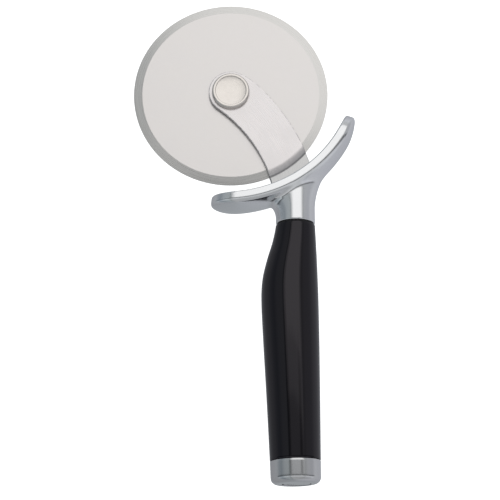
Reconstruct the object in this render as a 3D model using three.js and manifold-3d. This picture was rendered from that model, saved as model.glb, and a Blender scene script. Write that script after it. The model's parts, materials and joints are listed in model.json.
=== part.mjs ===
// Pastry cutter wheel: a round steel blade that turns in a two-arm fork, on a cast bolster
// with a finger guard, a black oval grip and a metal end cap.
// Millimetres. The blade lies level, +Z is the blade's axle and the handle runs towards -Y.
// Sizes are written from the centre of the blade; the last lines move the whole object so that
// its origin is the middle of its lowest level.
import * as THREE from 'three';
import { mergeVertices } from 'three/addons/utils/BufferGeometryUtils.js';
import Module from 'manifold-3d';

const wasm = await Module();
wasm.setup();

// ---- fineness ----
const ROUND = 32;           // sides of every small round piece
const ARC = 14;             // pieces of every arc of an arm's outline
const STEP_FACETS = 4;

// ---- clearances ----
const GAP = 0.3;            // between two pieces that fit into each other
const SEAT = 0.15;          // between two pieces that are clamped face to face

// ---- blade and hub ----
const BLADE_RADIUS = 45;
const BLADE_THICKNESS = 1.6;
const BEVEL_WIDTH = 4;
const EDGE_THICKNESS = 0.24;
const BUSHING_WALL = 1.7;

// ---- axle: a screw in a barrel, both with a wide dished head ----
const SCREW_RADIUS = 2;
const BARREL_WALL = 0.9;
const HEAD_RADIUS = 8.65;
const HEAD_HEIGHT = 1.9;
const HEAD_FLOOR = 1.1;     // thickness of the head under its dish
const DISH_RADIUS = 6.95;
const DISH_SAG = 0.4;       // the dish's floor is this much lower in the middle
const DISH_WALL = 0.25;     // run of the steep wall from the floor up to the crest
const HEAD_CREST = 7.75;    // radius where the rounding of the flank begins
const HEAD_SKIRT = 0.95;    // height of the head's upright side
const WASHER_RADIUS = 7.6;
const WASHER_THICKNESS = 0.4;

// ---- fork arms: two stamped plates, stepped inwards just past the blade's rim ----
const ARM_THICKNESS = 1.4;
const EYE_RADIUS = 10.2;
const ARM_TOUCH = -126.7;   // degrees: where the inner edge leaves the eye
const ARM_INNER = 68;
const ARM_CREST = 49.1;     // degrees: where the outer edge's circle comes nearest to the eye
const CREST_GAP = 0.9;
const ARM_OUTER = 99.8;
const ARM_SHOULDER = 30;    // radius between the eye and the outer edge
const STEP_RUN = 3.5;       // radial length of the rolled step
const STEP_MARGIN = 0.4;    // from the blade's rim to the foot of the step
const TANG_DEPTH = 8;       // how far the full-width tang goes past the blade's rim
const TONGUE_WIDTH = 10;
const TONGUE_SETBACK = 2.1; // from the neck's end face up to the tongue's end
const RIVET_RADIUS = 1.5;
const RIVET_HEAD_RADIUS = 2.4;
const RIVET_HEAD_HEIGHT = 0.8;
const RIVET_SETBACKS = [10.2, 4.8];  // from the neck's end face

// ---- bolster: guard, neck and spigot cast in one ----
const GUARD_CENTRE = new THREE.Vector2(-2.5, 7.7);
const GUARD_STANDOFF = 13.7;         // concave side's radius over the blade's
const GUARD_THICKNESS = 4.6;
const GUARD_DEPTH = 19.4;
const GUARD_CORNER = 9;     // depth taken off on each side by the rounding of the tips
const GUARD_TIP = 13;       // length over which the tips are rounded
const GUARD_EDGE = 1.2;
const GUARD_NOSE = 2;       // rounding of the tips across the thickness
const GUARD_CROWN = 1.8;    // extra thickness along the middle of the convex side
const GUARD_SWELL = 0.8;    // more of the same half way along the guard
const GUARD_START = -95.8;  // degrees
const GUARD_END = -18.7;
const NECK_STANDOFF = 18.6;          // from the blade's lowest rim down to the neck's end face
const NECK_LEFT = { spread: 6, length: 8 };      // hollow fillets up to the guard
const NECK_SWEEP = 34;      // radius from the neck's right side into the guard's back
const SPIGOT_RADIUS = 4;
const SPIGOT_LENGTH = 15.5;

// ---- grip, core and cap ----
const GASKET_THICKNESS = 0.5;
const GASKET_INSET = 0.5;
const SHELL_WALL = 2.6;
const GRIP_LENGTH = 107;
const GRIP_LEAN = 0.0227;   // slope of the square cuts at the cap end
const CAP_LENGTH = 10;
const CAP_CORNER = 2.7;
const CAP_FLOOR = 4.6;
const PLUG_RADIUS = 6;
const PLUG_THICKNESS = 2.2;
const PLUG_RECESS = 0.2;
const ROD_X = 28.9;
const ROD_RADIUS = 2;
const NUT_FLATS = 7;
const NUT_HEIGHT = 3.2;
const TIE_WASHER_RADIUS = 4.6;
const TIE_WASHER_THICKNESS = 0.8;
const NUT_POCKET_DEPTH = 9.2;

// The handle's oval at stations down the grip: share of the grip's length, then the skin's
// distance to the left and to the right of the tie rod, and half its depth.
const GRIP = [
  [-0.09, 8.1, 9.6, 8.4],
  [0, 8.3, 9.4, 8.35],
  [0.0785, 9.9, 9.7, 8.9],
  [0.1533, 12.3, 10, 9.9],
  [0.2374, 14.4, 10.25, 10.7],
  [0.3215, 15, 10.45, 11.2],
  [0.4897, 14.3, 10.6, 11.4],
  [0.714, 13, 10.6, 11.1],
  [1, 11.5, 10.5, 10.3],
  [1.0935, 11.1, 10.5, 10],
];

// ---- levels that follow from the sizes above ----
const TANG_REACH = BLADE_RADIUS + TANG_DEPTH;
const GUARD_RADIUS = BLADE_RADIUS + GUARD_STANDOFF;
const NECK_END = -BLADE_RADIUS - NECK_STANDOFF;
const CAP_JOINT = NECK_END - GRIP_LENGTH;
const CAP_BOTTOM = CAP_JOINT - CAP_LENGTH;
const TONGUE_END = NECK_END + TONGUE_SETBACK;
const RIVET_PLACES = RIVET_SETBACKS.map((setback) => NECK_END + setback);
const BLADE_FACE = BLADE_THICKNESS / 2;
const ARM_BACK = BLADE_FACE + WASHER_THICKNESS + 2 * SEAT;
const ARM_FACE = ARM_BACK + ARM_THICKNESS;
const TANG_BACK = SEAT;
const TANG_FACE = TANG_BACK + ARM_THICKNESS;
const HEAD_BASE = ARM_FACE + SEAT;
const BARREL_BORE = SCREW_RADIUS + GAP;
const BARREL_RADIUS = BARREL_BORE + BARREL_WALL;
const AXLE_HOLE = BARREL_RADIUS + GAP;
const BUSHING_RADIUS = AXLE_HOLE + BUSHING_WALL;
const CORE_INSET = SHELL_WALL + GAP;
const GRIP_START = NECK_END - GASKET_THICKNESS - 2 * SEAT;
const SPIGOT_END = NECK_END - SPIGOT_LENGTH;
const CAP_START = CAP_JOINT - SEAT;
const POCKET_END = CAP_BOTTOM + CAP_FLOOR;
const CORE_END = POCKET_END + GAP;
const NUT_SEAT = CORE_END + NUT_POCKET_DEPTH;

// ---- finishes ----
function finish(color, roughness, metalness) {
  return new THREE.MeshStandardMaterial({ color, roughness, metalness });
}
const POLISHED = finish(0xdedbd7, 0.28, 1);
const BRUSHED = finish(0xe2dfdd, 0.34, 1);
const CAST = finish(0xb8bcc0, 0.22, 1);
const SATIN = finish(0xa5a6aa, 0.36, 1);
const STEEL = finish(0x9a9c9e, 0.4, 1);
const NYLON = finish(0xe8e6df, 0.5, 0);
const GLOSS_BLACK = finish(0x1f1e22, 0.15, 0);
const DARK_PLASTIC = finish(0x26262a, 0.6, 0);
const RUBBER = finish(0x151517, 0.7, 0);

// ---- helpers ----
// Turns a closed geometry into a solid that can be cut and joined.
function solid(geometry) {
  const bare = geometry.clone();
  bare.deleteAttribute('normal');
  bare.deleteAttribute('uv');
  const merged = mergeVertices(bare, 1e-5);
  const vertProperties = new Float32Array(merged.attributes.position.array);
  const triVerts = new Uint32Array(merged.index.array);
  return new wasm.Manifold(new wasm.Mesh({ numProp: 3, vertProperties, triVerts }));
}

// Turns a cut solid back into a geometry.
function geometryOf(body) {
  const mesh = body.getMesh();
  const geometry = new THREE.BufferGeometry();
  geometry.setAttribute('position', new THREE.BufferAttribute(mesh.vertProperties, 3));
  geometry.setIndex(new THREE.BufferAttribute(mesh.triVerts, 1));
  geometry.computeVertexNormals();
  return geometry;
}

// A closed tube of sections: place(station, angle, reach) gives each point, where reach is 1 on
// the skin and 0 at the middle of the two end faces.
function loft(stations, sides, place) {
  const rows = stations.length - 1;
  const geometry = new THREE.CylinderGeometry(1, 1, rows, sides, rows);
  const at = geometry.attributes.position;
  const point = new THREE.Vector3();
  for (let i = 0; i < at.count; i++) {
    point.fromBufferAttribute(at, i);
    const reach = Math.round(Math.hypot(point.x, point.z));
    const station = stations[Math.round(rows / 2 - point.y)];
    const p = place(station, Math.atan2(point.z, point.x), reach);
    at.setXYZ(i, p.x, p.y, p.z);
  }
  if (signedVolume(geometry) < 0) turnInsideOut(geometry);
  return geometry;
}

function signedVolume(geometry) {
  const at = geometry.attributes.position;
  const index = geometry.index.array;
  const [a, b, c] = [new THREE.Vector3(), new THREE.Vector3(), new THREE.Vector3()];
  let sum = 0;
  for (let i = 0; i < index.length; i += 3) {
    a.fromBufferAttribute(at, index[i]);
    b.fromBufferAttribute(at, index[i + 1]);
    c.fromBufferAttribute(at, index[i + 2]);
    sum += a.dot(b.cross(c)) / 6;
  }
  return sum;
}

function turnInsideOut(geometry) {
  const index = geometry.index.array;
  for (let i = 0; i < index.length; i += 3) {
    [index[i + 1], index[i + 2]] = [index[i + 2], index[i + 1]];
  }
}

// A turned piece about the axle, from a closed list of [radius, height].
function turned(outline, sides) {
  const points = outline.map(([radius, height]) => new THREE.Vector2(radius, height));
  const geometry = new THREE.LatheGeometry(points, sides);
  geometry.rotateX(Math.PI / 2);
  if (geometry.index && signedVolume(geometry) < 0) turnInsideOut(geometry);
  return geometry;
}

// A washer-shaped ring about the axle.
function ring(inner, outer, low, high, sides) {
  return turned([[inner, low], [outer, low], [outer, high], [inner, high], [inner, low]], sides);
}

// A round bar along the handle, between two y levels.
function bar(radius, low, high) {
  const geometry = new THREE.CylinderGeometry(radius, radius, high - low, ROUND);
  geometry.translate(ROD_X, (low + high) / 2, 0);
  return geometry;
}

// A flat outline extruded between two z levels.
function plate(shape, low, high, curveSegments) {
  const settings = { depth: high - low, bevelEnabled: false, curveSegments };
  const geometry = new THREE.ExtrudeGeometry(shape, settings);
  geometry.translate(0, 0, low);
  return geometry;
}

// ---- blade and hub ----
function bladeWheel() {
  const hole = BUSHING_RADIUS + GAP;
  const shoulder = BLADE_RADIUS - BEVEL_WIDTH;
  const edge = EDGE_THICKNESS / 2;
  return turned([
    [hole, -BLADE_FACE], [shoulder, -BLADE_FACE], [BLADE_RADIUS, -edge],
    [BLADE_RADIUS, edge], [shoulder, BLADE_FACE], [hole, BLADE_FACE], [hole, -BLADE_FACE],
  ], 2 * ROUND);
}

function hubBushing() {
  return ring(AXLE_HOLE, BUSHING_RADIUS, -BLADE_FACE, BLADE_FACE, ROUND);
}

function washer(side) {
  const low = BLADE_FACE + SEAT;
  const high = low + WASHER_THICKNESS;
  return side > 0 ? ring(AXLE_HOLE, WASHER_RADIUS, low, high, ROUND)
    : ring(AXLE_HOLE, WASHER_RADIUS, -high, -low, ROUND);
}

// ---- axle ----
// Outline of a dished head from the axis outwards, over its crest and back in to the stem.
function headOutline(stem) {
  const top = HEAD_BASE + HEAD_HEIGHT;
  const floor = HEAD_BASE + HEAD_FLOOR;
  const skirt = HEAD_BASE + HEAD_SKIRT;
  const round = [1, 2, 3].map((i) => {
    const turn = (i * Math.PI) / 8;
    const radius = HEAD_CREST + (HEAD_RADIUS - HEAD_CREST) * Math.sin(turn);
    return [radius, skirt + (top - skirt) * Math.cos(turn)];
  });
  return [
    [0, floor], [DISH_RADIUS / 2, floor + DISH_SAG / 4], [DISH_RADIUS, floor + DISH_SAG],
    [DISH_RADIUS + DISH_WALL, top], [HEAD_CREST, top], ...round,
    [HEAD_RADIUS, skirt], [HEAD_RADIUS, HEAD_BASE], [stem, HEAD_BASE],
  ];
}

function axleScrew() {
  const tip = -ARM_FACE;
  return turned([...headOutline(SCREW_RADIUS), [SCREW_RADIUS, tip], [0, tip]], ROUND);
}

function axleBarrel() {
  const mouth = -(ARM_FACE - SEAT);
  const depth = ARM_FACE + GAP;
  const geometry = turned([
    ...headOutline(BARREL_RADIUS),
    [BARREL_RADIUS, mouth], [BARREL_BORE, mouth], [BARREL_BORE, depth], [0, depth],
  ], ROUND);
  geometry.rotateX(Math.PI);
  return geometry;
}

// ---- fork arms ----
// Where two circles cross; side picks one of the two points.
function crossing(p, r, q, s, side) {
  const across = q.clone().sub(p);
  const d = across.length();
  const along = (r * r - s * s + d * d) / (2 * d);
  const off = Math.sqrt(r * r - along * along) * side;
  across.divideScalar(d);
  const normal = new THREE.Vector2(-across.y, across.x);
  return p.clone().addScaledVector(across, along).addScaledVector(normal, off);
}

function angleFrom(centre, point) {
  return Math.atan2(point.y - centre.y, point.x - centre.x);
}

// Plan of one arm: the eye round the axle, then a curved band that widens towards the bolster.
function armPlan() {
  const origin = new THREE.Vector2(0, 0);
  const touch = THREE.MathUtils.degToRad(ARM_TOUCH);
  const crest = THREE.MathUtils.degToRad(ARM_CREST);
  const inner = new THREE.Vector2(Math.cos(touch), Math.sin(touch)).multiplyScalar(EYE_RADIUS + ARM_INNER);
  const outer = new THREE.Vector2(Math.cos(crest), Math.sin(crest));
  outer.multiplyScalar(EYE_RADIUS + CREST_GAP - ARM_OUTER);
  // The shoulder's arc touches the eye and the outer edge from inside.
  const shoulder = crossing(origin, ARM_SHOULDER - EYE_RADIUS, outer, ARM_OUTER - ARM_SHOULDER, 1);
  const onEye = angleFrom(shoulder, origin);
  const onArc = angleFrom(outer, shoulder);
  const endOuter = crossing(origin, TANG_REACH, outer, ARM_OUTER, 1);
  const endInner = crossing(origin, TANG_REACH, inner, ARM_INNER, 1);
  const shape = new THREE.Shape();
  shape.absarc(0, 0, EYE_RADIUS, onEye, touch + 2 * Math.PI, false);
  shape.absarc(inner.x, inner.y, ARM_INNER, touch + Math.PI, angleFrom(inner, endInner), true);
  shape.absarc(0, 0, TANG_REACH, angleFrom(origin, endInner), angleFrom(origin, endOuter), false);
  shape.absarc(outer.x, outer.y, ARM_OUTER, angleFrom(outer, endOuter), onArc, false);
  shape.absarc(shoulder.x, shoulder.y, ARM_SHOULDER, onArc, onEye, false);
  return shape;
}

// A level at a place x across the tang, just inside its round end.
function tangEnd(x) {
  return 1 - Math.sqrt(TANG_REACH ** 2 - x ** 2);
}

// The narrow tongue that the bolster is cast round; margin widens it on every side.
function tonguePlan(margin) {
  const half = TONGUE_WIDTH / 2 + margin;
  const shape = new THREE.Shape();
  shape.moveTo(ROD_X - half, TONGUE_END - margin);
  shape.lineTo(ROD_X + half, TONGUE_END - margin);
  shape.lineTo(ROD_X + half, tangEnd(ROD_X + half));
  shape.lineTo(ROD_X - half, tangEnd(ROD_X - half));
  return shape;
}

// The arm's plan made wider by the clearance, for the slot that the tangs sit in.
function widened(shape) {
  const points = shape.getPoints(ARC);
  const outline = points.filter((p, i) => i === 0 || p.distanceTo(points[i - 1]) > 1e-4);
  const count = outline.length;
  const grown = outline.map((p, i) => {
    const before = outline[(i + count - 1) % count];
    const after = outline[(i + 1) % count];
    const normal = new THREE.Vector2(after.y - before.y, before.x - after.x).normalize();
    return p.clone().addScaledVector(normal, GAP);
  });
  return new THREE.Shape(grown);
}

// The stepped sheet that an arm is cut from: a turned form, because the step follows the rim.
function steppedSheet() {
  const drop = ARM_FACE - TANG_FACE;
  const roll = (STEP_RUN * STEP_RUN + drop * drop) / (2 * drop);
  const steep = Math.asin(STEP_RUN / roll);
  const foot = BLADE_RADIUS + STEP_MARGIN;
  const shift = ARM_THICKNESS * Math.tan(steep / 2);
  const outside = 2 * -TONGUE_END;
  const face = [];
  const back = [];
  for (let i = 0; i <= STEP_FACETS; i++) {
    const turn = (steep * i) / STEP_FACETS;
    const radius = foot - STEP_RUN + roll * Math.sin(turn);
    const fall = roll * (1 - Math.cos(turn));
    face.push([radius, ARM_FACE - fall]);
    back.push([radius + shift, ARM_BACK - fall]);
  }
  return turned([
    [AXLE_HOLE, ARM_FACE], ...face, [outside, TANG_FACE], [outside, TANG_BACK],
    ...back.reverse(), [AXLE_HOLE, ARM_BACK], [AXLE_HOLE, ARM_FACE],
  ], 3 * ROUND);
}

function forkArm(side) {
  const wide = solid(plate(armPlan(), 0, 2 * ARM_FACE, ARC));
  const tongue = solid(plate(tonguePlan(0), 0, 2 * ARM_FACE));
  let arm = wide.add(tongue).intersect(solid(steppedSheet()));
  for (const y of RIVET_PLACES) {
    const bore = RIVET_RADIUS + GAP;
    const hole = new THREE.CylinderGeometry(bore, bore, 4 * ARM_THICKNESS, ROUND / 2);
    hole.rotateX(Math.PI / 2);
    hole.translate(ROD_X, y, 0);
    arm = arm.subtract(solid(hole));
  }
  const geometry = geometryOf(arm);
  if (side < 0) {
    geometry.scale(1, 1, -1);
    turnInsideOut(geometry);
    geometry.computeVertexNormals();
  }
  return geometry;
}

// A short rivet that closes the two tongues together, with a flat head at each end.
function tangRivet(y) {
  const under = TANG_FACE + SEAT;
  const top = under + RIVET_HEAD_HEIGHT;
  const geometry = turned([
    [0, -top], [RIVET_HEAD_RADIUS, -top], [RIVET_HEAD_RADIUS, -under], [RIVET_RADIUS, -under],
    [RIVET_RADIUS, under], [RIVET_HEAD_RADIUS, under], [RIVET_HEAD_RADIUS, top], [0, top],
  ], ROUND / 2);
  geometry.translate(ROD_X, y, 0);
  return geometry;
}

// ---- handle form ----
// Smooth value between the stations of GRIP; column 1 is the left side, 2 the right, 3 the depth.
function gripValue(y, column) {
  const share = (NECK_END - y) / GRIP_LENGTH;
  let k = 0;
  while (k < GRIP.length - 2 && share > GRIP[k + 1][0]) k++;
  const slope = (i) => {
    const before = GRIP[Math.max(i - 1, 0)];
    const after = GRIP[Math.min(i + 1, GRIP.length - 1)];
    return (after[column] - before[column]) / (after[0] - before[0]);
  };
  const [a, b] = [GRIP[k], GRIP[k + 1]];
  const width = b[0] - a[0];
  const t = (share - a[0]) / width;
  const [t2, t3] = [t * t, t * t * t];
  return (2 * t3 - 3 * t2 + 1) * a[column] + (t3 - 2 * t2 + t) * width * slope(k)
    + (3 * t2 - 2 * t3) * b[column] + (t3 - t2) * width * slope(k + 1);
}

// A point of the handle's oval skin, set in by inset; the square cuts lean towards the cap end.
function gripPoint(y, angle, inset) {
  const [left, right, deep] = [ROD_X - gripValue(y, 1), ROD_X + gripValue(y, 2), gripValue(y, 3)];
  const across = ((right - left) / 2 - inset) * Math.cos(angle);
  const part = THREE.MathUtils.clamp((y - NECK_END) / (CAP_JOINT - NECK_END), 0, 1);
  const lift = GRIP_LEAN * part * across;
  return new THREE.Vector3((left + right) / 2 + across, y + lift, (deep - inset) * Math.sin(angle));
}

function levels(from, to, count) {
  return Array.from({ length: count + 1 }, (_, i) => from + ((to - from) * i) / count);
}

// A length of the handle's form between two levels, set in by inset.
function gripForm(from, to, count, inset, sides) {
  return loft(levels(from, to, count), sides, (y, angle, reach) => {
    const middle = gripPoint(y, Math.PI / 2, gripValue(y, 3));
    return middle.lerp(gripPoint(y, angle, inset), reach);
  });
}

// ---- bolster ----
// Half depth of the guard at a distance in from its tip: an elliptical end, then full depth.
function guardHalfDepth(fromTip) {
  const share = Math.max(1 - fromTip / GUARD_TIP, 0);
  return GUARD_DEPTH / 2 - GUARD_CORNER * (1 - Math.sqrt(1 - share ** 2));
}

// The guard is a curved plate; each station is an angle about its centre.
function guardPlate() {
  const start = THREE.MathUtils.degToRad(GUARD_START);
  const end = THREE.MathUtils.degToRad(GUARD_END);
  const middle = GUARD_RADIUS + GUARD_THICKNESS / 2;
  const corner = GUARD_TIP / middle;
  const near = levels(0, Math.PI / 2, 6).map((turn) => corner * (1 - Math.cos(turn)));
  const plain = levels(start + corner, end - corner, 14).slice(1, -1);
  const stations = [...near.map((a) => start + a), ...plain, ...near.map((a) => end - a).reverse()];
  return loft(stations, 28, (turn, angle, reach) => {
    const fromTip = Math.min(turn - start, end - turn) * middle;
    const half = guardHalfDepth(fromTip);
    const short = Math.max(GUARD_NOSE - fromTip, 0);
    const thin = GUARD_THICKNESS / 2 - GUARD_NOSE + Math.sqrt(GUARD_NOSE ** 2 - short ** 2);
    const edge = Math.min(GUARD_EDGE, half, thin);
    const share = (2 * turn - start - end) / (end - start);
    const crown = (GUARD_CROWN + GUARD_SWELL * (1 - share ** 2)) * (half / (GUARD_DEPTH / 2)) ** 2;
    const [c, s] = [Math.cos(angle), Math.sin(angle)];
    const flat = Math.max(Math.abs(c) / thin, Math.abs(s) / half);
    let [across, deep] = [c / flat, s / flat];
    const overX = Math.abs(across) - (thin - edge);
    const overZ = Math.abs(deep) - (half - edge);
    if (overX > 0 && overZ > 0) {
      const long = Math.hypot(overX, overZ) / edge;
      across = Math.sign(across) * (thin - edge + overX / long);
      deep = Math.sign(deep) * (half - edge + overZ / long);
    }
    if (across > 0) across += crown * (1 - (deep / half) ** 2);
    const radius = middle + across * reach;
    return new THREE.Vector3(
      GUARD_CENTRE.x + radius * Math.cos(turn), GUARD_CENTRE.y + radius * Math.sin(turn), deep * reach);
  });
}

// Level of the guard's back at a place x across it.
function guardBack(x) {
  return GUARD_CENTRE.y - Math.sqrt((GUARD_RADIUS + GUARD_THICKNESS) ** 2 - (x - GUARD_CENTRE.x) ** 2);
}

// How far an elliptical hollow fillet stands out of a wall, at a distance below its top.
function flare(below, { spread, length }) {
  const rise = Math.min(Math.max(1 - below / length, 0), 1);
  return spread * (1 - Math.sqrt(1 - rise * rise));
}

// The arc that joins the neck's right side to the guard's back: its centre and its top level.
function neckSweep() {
  const back = GUARD_RADIUS + GUARD_THICKNESS + GUARD_CROWN;
  const x = ROD_X + gripValue(NECK_END, 2) + NECK_SWEEP;
  const y = GUARD_CENTRE.y - Math.sqrt((back + NECK_SWEEP) ** 2 - (x - GUARD_CENTRE.x) ** 2);
  const centre = new THREE.Vector2(x, y);
  const touch = centre.clone().sub(GUARD_CENTRE).setLength(back).add(GUARD_CENTRE);
  return { centre, top: touch.y };
}

// The neck is a round column with a web on each side that spreads into the guard. A web is
// full at mid depth and fades towards the front and the back.
function neckColumn() {
  const left = ROD_X - gripValue(NECK_END, 1);
  const right = ROD_X + gripValue(NECK_END, 2);
  const leftTop = guardBack(left - NECK_LEFT.spread);
  const deep = gripValue(NECK_END, 3);
  const { centre, top } = neckSweep();
  return loft(levels(NECK_END, top, 14), ROUND, (y, angle, reach) => {
    const rise = Math.max(y - centre.y, 0);
    const rightWeb = NECK_SWEEP - Math.sqrt(NECK_SWEEP ** 2 - rise ** 2);
    const cos = Math.cos(angle);
    const web = (cos > 0 ? rightWeb : flare(leftTop - y, NECK_LEFT)) * cos ** 2;
    const across = ((right - left) / 2 + web) * cos;
    return new THREE.Vector3((left + right) / 2 + across * reach, y, deep * reach * Math.sin(angle));
  });
}

function bolsterGuard() {
  const bowl = new THREE.CylinderGeometry(GUARD_RADIUS + 1, GUARD_RADIUS + 1, 2 * GUARD_DEPTH, 3 * ROUND);
  bowl.rotateX(Math.PI / 2);
  bowl.translate(GUARD_CENTRE.x, GUARD_CENTRE.y, 0);
  const neck = solid(neckColumn()).subtract(solid(bowl));
  const spigot = solid(bar(SPIGOT_RADIUS, SPIGOT_END, NECK_END + 1));
  const thread = solid(bar(ROD_RADIUS + GAP, SPIGOT_END - 1, NECK_END - 2));
  const slot = TANG_FACE + GAP;
  const wideTang = solid(plate(widened(armPlan()), -slot, slot, ARC));
  const headRoom = TANG_FACE + SEAT + RIVET_HEAD_HEIGHT + GAP;
  const tongue = solid(plate(tonguePlan(GAP), -headRoom, headRoom));
  return geometryOf(
    neck.add(solid(guardPlate())).add(spigot).subtract(thread).subtract(wideTang).subtract(tongue));
}

// ---- grip ----
function neckGasket() {
  const high = NECK_END - SEAT;
  const low = high - GASKET_THICKNESS;
  const outer = solid(gripForm(high, low, 1, GASKET_INSET, ROUND));
  return geometryOf(outer.subtract(solid(bar(SPIGOT_RADIUS + GAP, low - 1, high + 1))));
}

function gripShell() {
  const outer = solid(gripForm(GRIP_START, CAP_JOINT, 16, 0, ROUND));
  return geometryOf(outer.subtract(solid(gripForm(GRIP_START + 1, CAP_JOINT - 1, 8, SHELL_WALL, ROUND))));
}

function gripCore() {
  const body = solid(gripForm(GRIP_START, CORE_END, 8, CORE_INSET, ROUND));
  const socket = solid(bar(SPIGOT_RADIUS + GAP, SPIGOT_END - GAP, GRIP_START + 1));
  const bore = solid(bar(ROD_RADIUS + GAP, NUT_SEAT - 1, SPIGOT_END));
  const pocket = solid(bar(TIE_WASHER_RADIUS + GAP, CORE_END - 1, NUT_SEAT));
  return geometryOf(body.subtract(socket).subtract(bore).subtract(pocket));
}

function tieRod() {
  const high = NECK_END - 2 - GAP;
  const low = NUT_SEAT - TIE_WASHER_THICKNESS - NUT_HEIGHT - 2;
  return bar(ROD_RADIUS, low, high);
}

// A flat ring or a hexagon nut on the rod, between two levels.
function onRod(radius, sides, low, high) {
  const outer = new THREE.CylinderGeometry(radius, radius, high - low, sides);
  outer.translate(ROD_X, (low + high) / 2, 0);
  return geometryOf(solid(outer).subtract(solid(bar(ROD_RADIUS + GAP, low - 1, high + 1))));
}

function tieWasher() {
  const high = NUT_SEAT - SEAT;
  return onRod(TIE_WASHER_RADIUS, ROUND, high - TIE_WASHER_THICKNESS, high);
}

function tieNut() {
  const high = NUT_SEAT - TIE_WASHER_THICKNESS - 2 * SEAT;
  return onRod(NUT_FLATS / Math.sqrt(3), 6, high - NUT_HEIGHT, high);
}

// ---- end cap ----
function endCap() {
  const straight = levels(CAP_START, CAP_BOTTOM + CAP_CORNER, 3);
  const curved = levels(0, Math.PI / 2, 4).slice(1).map((turn) => ({
    y: CAP_BOTTOM + CAP_CORNER * (1 - Math.sin(turn)), inset: CAP_CORNER * (1 - Math.cos(turn)),
  }));
  const stations = [...straight.map((y) => ({ y, inset: 0 })), ...curved];
  const outer = loft(stations, ROUND, ({ y, inset }, angle, reach) => {
    const middle = gripPoint(y, Math.PI / 2, gripValue(y, 3));
    return middle.lerp(gripPoint(y, angle, inset), reach);
  });
  const pocket = solid(gripForm(CAP_START + 1, POCKET_END, 3, SHELL_WALL, ROUND));
  const hole = solid(bar(PLUG_RADIUS + GAP, CAP_BOTTOM - 1, POCKET_END + 1));
  return geometryOf(solid(outer).subtract(pocket).subtract(hole));
}

function capPlug() {
  const low = CAP_BOTTOM + PLUG_RECESS;
  return bar(PLUG_RADIUS, low, low + PLUG_THICKNESS);
}

// ---- the assembly ----
const object = new THREE.Group();

function place(name, geometry, material) {
  const mesh = new THREE.Mesh(geometry, material);
  mesh.name = name;
  object.add(mesh);
}

place('blade_wheel', bladeWheel(), POLISHED);
place('hub_bushing', hubBushing(), NYLON);
place('washer_front', washer(1), NYLON);
place('washer_rear', washer(-1), NYLON);
place('fork_arm_front', forkArm(1), BRUSHED);
place('fork_arm_rear', forkArm(-1), BRUSHED);
place('axle_screw', axleScrew(), POLISHED);
place('axle_barrel', axleBarrel(), POLISHED);
RIVET_PLACES.forEach((y, i) => place(`tang_rivet_${i + 1}`, tangRivet(y), STEEL));
place('bolster_guard', bolsterGuard(), CAST);
place('neck_gasket', neckGasket(), RUBBER);
place('grip_shell', gripShell(), GLOSS_BLACK);
place('grip_core', gripCore(), DARK_PLASTIC);
place('tie_rod', tieRod(), STEEL);
place('tie_washer', tieWasher(), STEEL);
place('tie_nut', tieNut(), STEEL);
place('end_cap', endCap(), SATIN);
place('cap_plug', capPlug(), SATIN);

const box = new THREE.Box3().setFromObject(object);
object.position.set(-(box.min.x + box.max.x) / 2, -(box.min.y + box.max.y) / 2, -box.min.z);
object.updateMatrixWorld(true);

export default object;
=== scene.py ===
import itertools
import json
import math

import bmesh
import bpy
import numpy as np
from mathutils import Matrix, Vector


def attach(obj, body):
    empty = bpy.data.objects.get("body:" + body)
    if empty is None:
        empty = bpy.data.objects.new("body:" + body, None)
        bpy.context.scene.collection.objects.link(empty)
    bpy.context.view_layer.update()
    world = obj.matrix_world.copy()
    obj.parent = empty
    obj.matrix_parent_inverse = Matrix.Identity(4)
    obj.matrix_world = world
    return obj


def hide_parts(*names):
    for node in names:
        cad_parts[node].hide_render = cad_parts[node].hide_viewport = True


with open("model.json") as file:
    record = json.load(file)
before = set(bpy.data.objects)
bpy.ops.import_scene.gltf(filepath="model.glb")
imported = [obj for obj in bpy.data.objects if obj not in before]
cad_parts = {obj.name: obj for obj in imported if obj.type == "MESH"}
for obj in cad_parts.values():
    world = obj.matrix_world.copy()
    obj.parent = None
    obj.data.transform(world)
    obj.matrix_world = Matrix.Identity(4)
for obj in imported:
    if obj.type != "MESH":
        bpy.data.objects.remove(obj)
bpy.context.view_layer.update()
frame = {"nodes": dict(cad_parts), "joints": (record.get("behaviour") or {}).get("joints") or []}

# ---------------------------------------------------------------------------------------------
# Blade wheel: a disc blanked from stainless sheet, both faces finely ground to a satin, with a
# narrow bevel ground round the rim on a wheel, which leaves fine rings. It turns on the hub.
# ---------------------------------------------------------------------------------------------
MM = 0.001
HUB = Vector(frame["joints"][0]["pos_m"])     # middle of the blade, where the axle passes
BLADE_RADIUS = 45.0
BLADE_FACE = 0.8              # half the blade's thickness
BLADE_HOLE = 5.5
BEVEL_WIDTH = 4.0
EDGE = 0.12                   # half the thickness of the ground edge


def in_frame(points):
    """Points written in millimetres from the middle of the blade, in the frame's metres."""
    return np.asarray(points, float) * MM + np.array(HUB)


def make_piece(name, points, faces, smooth_below=34):
    """A piece from points in millimetres, with its faces turned outwards and soft edges smoothed."""
    mesh = bpy.data.meshes.new(name)
    mesh.from_pydata(in_frame(points).tolist(), [], [list(map(int, f)) for f in faces])
    piece = bpy.data.objects.new(name, mesh)
    bpy.context.scene.collection.objects.link(piece)
    finish_mesh(piece, smooth_below)
    return piece


def finish_mesh(piece, smooth_below):
    work = bmesh.new()
    work.from_mesh(piece.data)
    bmesh.ops.remove_doubles(work, verts=work.verts, dist=1e-7)
    bmesh.ops.recalc_face_normals(work, faces=work.faces)
    work.to_mesh(piece.data)
    work.free()
    piece.data.shade_smooth()
    piece.data.set_sharp_from_angle(angle=math.radians(smooth_below))


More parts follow.
